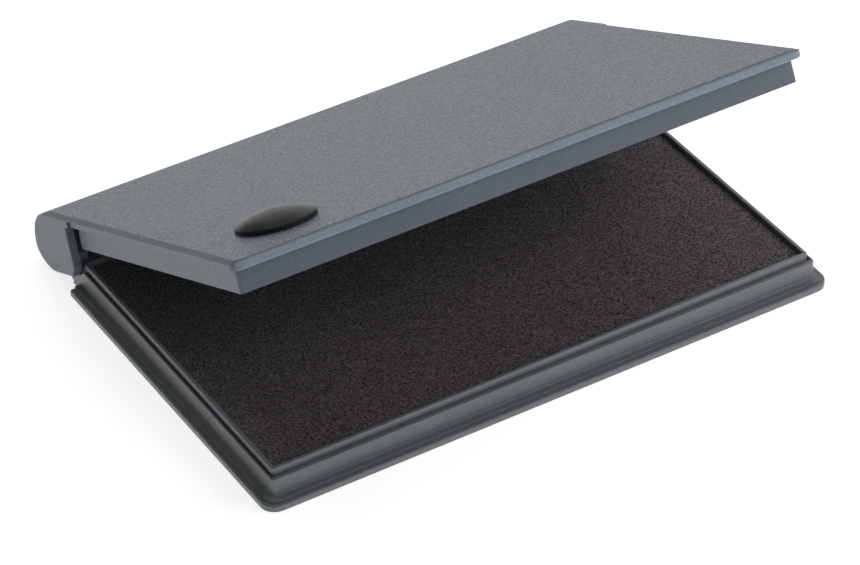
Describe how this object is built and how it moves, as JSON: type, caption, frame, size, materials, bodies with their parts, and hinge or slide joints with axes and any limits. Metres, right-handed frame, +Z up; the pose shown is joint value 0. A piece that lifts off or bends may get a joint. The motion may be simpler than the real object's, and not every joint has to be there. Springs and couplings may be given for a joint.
{
  "type": "hinged stamp ink pad",
  "caption": "Flat hinged ink pad for rubber stamps: a framed felt pad in a stepped plastic base, with a barrel-hinged lid that shuts over it and a round colour button.",
  "frame": {"origin": "middle of the base's flat underside, on the surface that it stands on", "axes": "+X along the hinge line, to the right seen from the front; +Y from the front edge to the hinge; +Z up"},
  "size_m": [0.118, 0.0891, 0.0473],
  "materials": {
    "base_plastic": "smooth moulded, satin",
    "tray_plastic": "smooth moulded, satin",
    "lid_plastic": "fine spark-eroded grain on the top, smooth edges",
    "liner_sheet": "thin sheet, satin",
    "board": "pressed board, matte",
    "inked_felt": "dense felt soaked in black ink",
    "inked_cloth": "fine napped cover cloth soaked in black ink",
    "pin_steel": "drawn wire",
    "badge_plastic": "polished"
  },
  "bodies": {
    "base": {"base_tray": "base_plastic", "ink_tray": "tray_plastic", "backing_board": "board", "reservoir_felt": "inked_felt", "surface_felt": "inked_felt", "pad_cloth": "inked_cloth", "hinge_pin_left": "pin_steel", "hinge_pin_right": "pin_steel"},
    "lid": {"lid_shell": "lid_plastic", "lid_liner": "liner_sheet", "colour_badge": "badge_plastic"}
  },
  "joints": [
    {"name": "lid_hinge", "type": "hinge", "parent": "base", "child": "lid", "pos_m": [0, 0.047, 0.0078], "axis": [-1, 0, 0], "range_deg": [-25.6, 84.4]}
  ]
}
